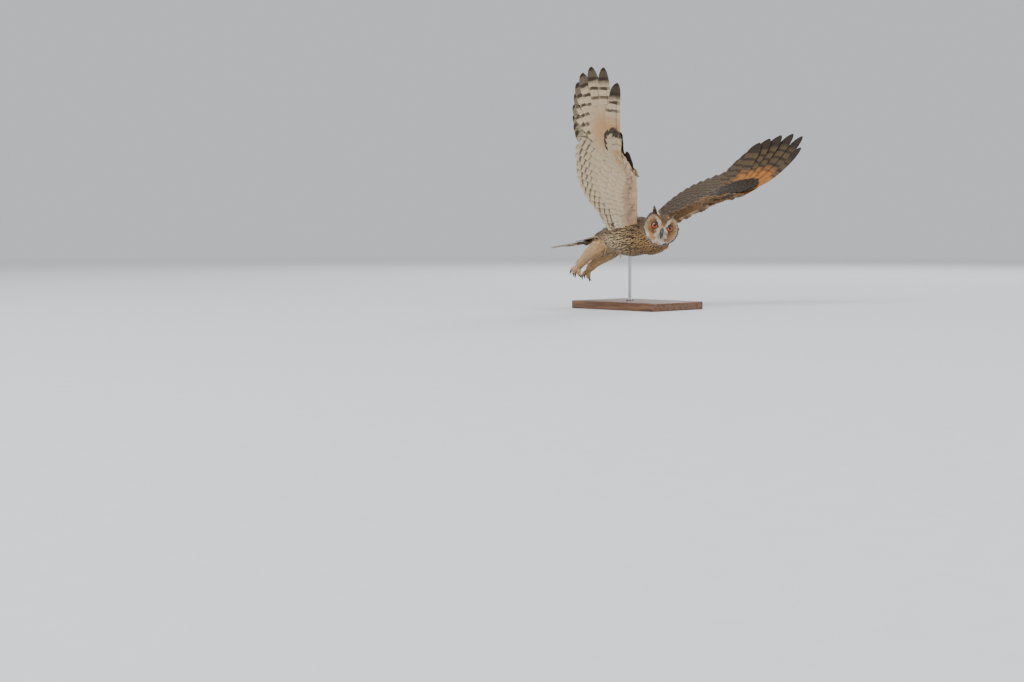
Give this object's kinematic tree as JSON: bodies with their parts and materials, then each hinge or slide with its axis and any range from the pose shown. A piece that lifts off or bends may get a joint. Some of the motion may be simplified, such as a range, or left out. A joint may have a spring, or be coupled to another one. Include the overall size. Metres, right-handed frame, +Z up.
{
  "type": "long eared owl",
  "caption": "Life-size still model of a long eared owl in banked flight, wings raised and spread, head turned, on a plain wood and steel display stand.",
  "frame": {"origin": "middle of the underside of the stand base, on the floor", "axes": "+Z is up, +X is the way the bird heads, +Y is the bird's left"},
  "size_m": [0.4856, 0.6095, 0.529],
  "materials": {
    "plumage": "soft body feathers, buff with dark brown streaks",
    "flight_feathers": "barred flight and tail feathers, dull",
    "face": "ochre facial discs with a pale rim",
    "tuft": "dark ear tufts with buff edges",
    "legs": "plain tawny feathering on legs and toes",
    "eye": "orange glass eye, wet gloss",
    "horn": "dark grey horn, satin",
    "stand_wood": "stained wood, satin",
    "stand_steel": "satin steel rod"
  },
  "bodies": {
    "root": {"torso": "plumage", "neck": "plumage", "tail": "flight_feathers", "wing_left": "flight_feathers", "wing_right": "flight_feathers", "head": "face", "ear_tuft_left": "tuft", "ear_tuft_right": "tuft", "leg_left": "legs", "leg_right": "legs", "foot_left": "legs", "foot_right": "legs", "eye_left": "eye", "eye_right": "eye", "bill": "horn", "claw_left_inner": "horn", "claw_left_middle": "horn", "claw_left_outer": "horn", "claw_left_hind": "horn", "claw_right_inner": "horn", "claw_right_middle": "horn", "claw_right_outer": "horn", "claw_right_hind": "horn", "stand_base": "stand_wood", "stand_rod": "stand_steel"}
  },
  "joints": []
}
